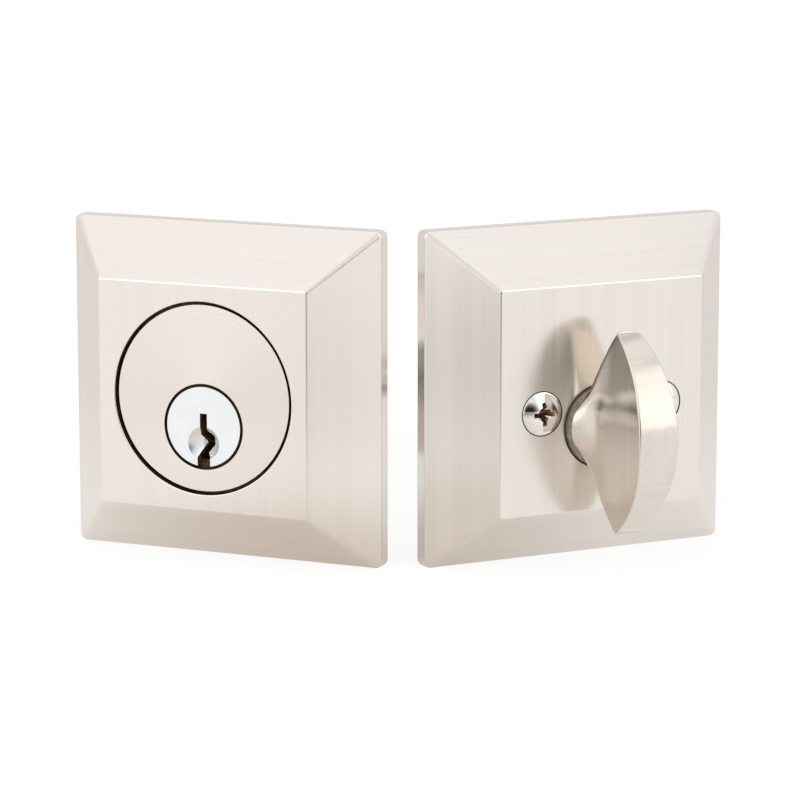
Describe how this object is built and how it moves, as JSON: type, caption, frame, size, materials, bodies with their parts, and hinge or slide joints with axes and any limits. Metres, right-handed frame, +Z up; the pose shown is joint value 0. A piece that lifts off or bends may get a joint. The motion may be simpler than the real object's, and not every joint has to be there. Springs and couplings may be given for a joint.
{
  "type": "deadbolt door lock",
  "caption": "Square bevelled deadbolt set: keyed cylinder half, half-round thumbturn half, tubular latch with a sliding bolt, and a strike with its dust box.",
  "frame": {"origin": "on the floor, under the middle of the whole set's bounding box", "axes": "+Z up; +X to the right seen from the front; the fronts of both halves face -Y, each turned 25 degrees towards the outside; the bolt slides along +Y"},
  "size_m": [0.123, 0.1421, 0.0635],
  "materials": {
    "box_plastic": "black moulded plastic",
    "brass_pin": "machined brass",
    "bushing_nylon": "natural nylon",
    "hardened_steel": "ground hardened steel",
    "polished_plug": "polished nickel",
    "polished_screw": "polished nickel",
    "satin_nickel_cylinder": "brushed satin nickel plate, grain round the axis",
    "satin_nickel_rose": "brushed satin nickel plate on brass",
    "satin_nickel_turn": "fine satin nickel plate on cast brass",
    "spring_steel": "bright spring wire",
    "zinc_steel": "bright zinc-plated steel"
  },
  "bodies": {
    "lock_set": {"exterior_rose": "satin_nickel_rose", "exterior_backplate": "zinc_steel", "cylinder_housing": "satin_nickel_cylinder", "chamber_cap": "brass_pin", "pin_spring_1": "spring_steel", "pin_spring_2": "spring_steel", "pin_spring_3": "spring_steel", "pin_spring_4": "spring_steel", "pin_spring_5": "spring_steel", "interior_rose": "satin_nickel_rose", "interior_backplate": "zinc_steel", "turn_bushing": "bushing_nylon", "wave_washer": "spring_steel", "through_screws": "polished_screw", "latch_front": "satin_nickel_rose", "latch_backing": "zinc_steel", "latch_tube": "zinc_steel", "latch_case_upper": "zinc_steel", "latch_case_lower": "zinc_steel", "case_rivets": "zinc_steel", "latch_screws": "polished_screw", "strike_plate": "satin_nickel_rose", "dust_box": "box_plastic", "strike_screws": "polished_screw"},
    "plug_assembly": {"plug": "polished_plug", "plug_cap": "brass_pin"},
    "tailpiece_blade": {"tailpiece": "zinc_steel"},
    "thumbturn_assembly": {"thumbturn": "satin_nickel_turn", "drive_socket": "zinc_steel", "retaining_ring": "spring_steel"},
    "cam": {"latch_cam": "zinc_steel"},
    "bolt": {"dead_bolt": "satin_nickel_turn", "bolt_tail": "zinc_steel", "tail_pin": "zinc_steel"},
    "guard_rod": {"saw_guard_rod": "hardened_steel"},
    "key_pin_1": {"bottom_pin_1": "brass_pin"},
    "top_pin_1": {"driver_pin_1": "brass_pin"},
    "key_pin_2": {"bottom_pin_2": "brass_pin"},
    "top_pin_2": {"driver_pin_2": "brass_pin"},
    "key_pin_3": {"bottom_pin_3": "brass_pin"},
    "top_pin_3": {"driver_pin_3": "brass_pin"},
    "key_pin_4": {"bottom_pin_4": "brass_pin"},
    "top_pin_4": {"driver_pin_4": "brass_pin"},
    "key_pin_5": {"bottom_pin_5": "brass_pin"},
    "top_pin_5": {"driver_pin_5": "brass_pin"}
  },
  "joints": [
    {"name": "plug_turn", "type": "hinge", "parent": "lock_set", "child": "plug_assembly", "pos_m": [-0.03704, -0.04987, 0.02635], "axis": [0.4226, 0.9063, 0], "range_deg": [-90, 90]},
    {"name": "tailpiece_swing", "type": "hinge", "parent": "plug_assembly", "child": "tailpiece_blade", "pos_m": [-0.02389, -0.02169, 0.02635], "axis": [0.4226, 0.9063, 0], "range_deg": [-45, 45]},
    {"name": "bottom_pin_1_drop", "type": "slide", "parent": "plug_assembly", "child": "key_pin_1", "axis": [0, 0, -1], "range_m": [0, 0.0008]},
    {"name": "bottom_pin_2_drop", "type": "slide", "parent": "plug_assembly", "child": "key_pin_2", "axis": [0, 0, -1], "range_m": [0, 0.0008]},
    {"name": "bottom_pin_3_drop", "type": "slide", "parent": "plug_assembly", "child": "key_pin_3", "axis": [0, 0, -1], "range_m": [0, 0.0008]},
    {"name": "bottom_pin_4_drop", "type": "slide", "parent": "plug_assembly", "child": "key_pin_4", "axis": [0, 0, -1], "range_m": [0, 0.0008]},
    {"name": "bottom_pin_5_drop", "type": "slide", "parent": "plug_assembly", "child": "key_pin_5", "axis": [0, 0, -1], "range_m": [0, 0.0008]},
    {"name": "driver_pin_1_lift", "type": "slide", "parent": "lock_set", "child": "top_pin_1", "axis": [0, 0, 1], "range_m": [0, 0.0016], "stiffness_N_per_m": 90, "deforming": ["pin_spring_1"]},
    {"name": "driver_pin_2_lift", "type": "slide", "parent": "lock_set", "child": "top_pin_2", "axis": [0, 0, 1], "range_m": [0, 0.0016], "stiffness_N_per_m": 90, "deforming": ["pin_spring_2"]},
    {"name": "driver_pin_3_lift", "type": "slide", "parent": "lock_set", "child": "top_pin_3", "axis": [0, 0, 1], "range_m": [0, 0.0016], "stiffness_N_per_m": 90, "deforming": ["pin_spring_3"]},
    {"name": "driver_pin_4_lift", "type": "slide", "parent": "lock_set", "child": "top_pin_4", "axis": [0, 0, 1], "range_m": [0, 0.0016], "stiffness_N_per_m": 90, "deforming": ["pin_spring_4"]},
    {"name": "driver_pin_5_lift", "type": "slide", "parent": "lock_set", "child": "top_pin_5", "axis": [0, 0, 1], "range_m": [0, 0.0016], "stiffness_N_per_m": 90, "deforming": ["pin_spring_5"]},
    {"name": "thumbturn_turn", "type": "hinge", "parent": "lock_set", "child": "thumbturn_assembly", "pos_m": [0.03725, -0.05033, 0.02635], "axis": [-0.4226, 0.9063, 0], "range_deg": [0, 90]},
    {"name": "latch_cam_turn", "type": "hinge", "parent": "lock_set", "child": "cam", "pos_m": [-0.0379, 0.011, 0.0127], "axis": [0, 0, 1], "range_deg": [0, 90]},
    {"name": "bolt_slide", "type": "slide", "parent": "lock_set", "child": "bolt", "axis": [0, 1, 0], "range_m": [0, 0.0254]},
    {"name": "saw_guard_spin", "type": "hinge", "parent": "bolt", "child": "guard_rod", "pos_m": [-0.0325, 0.051, 0.0127], "axis": [0, 1, 0], "continuous": true}
  ],
  "couplings": [
    {"joint": "latch_cam_turn", "follows": "bolt_slide", "rad_per_m": 61.842}
  ]
}
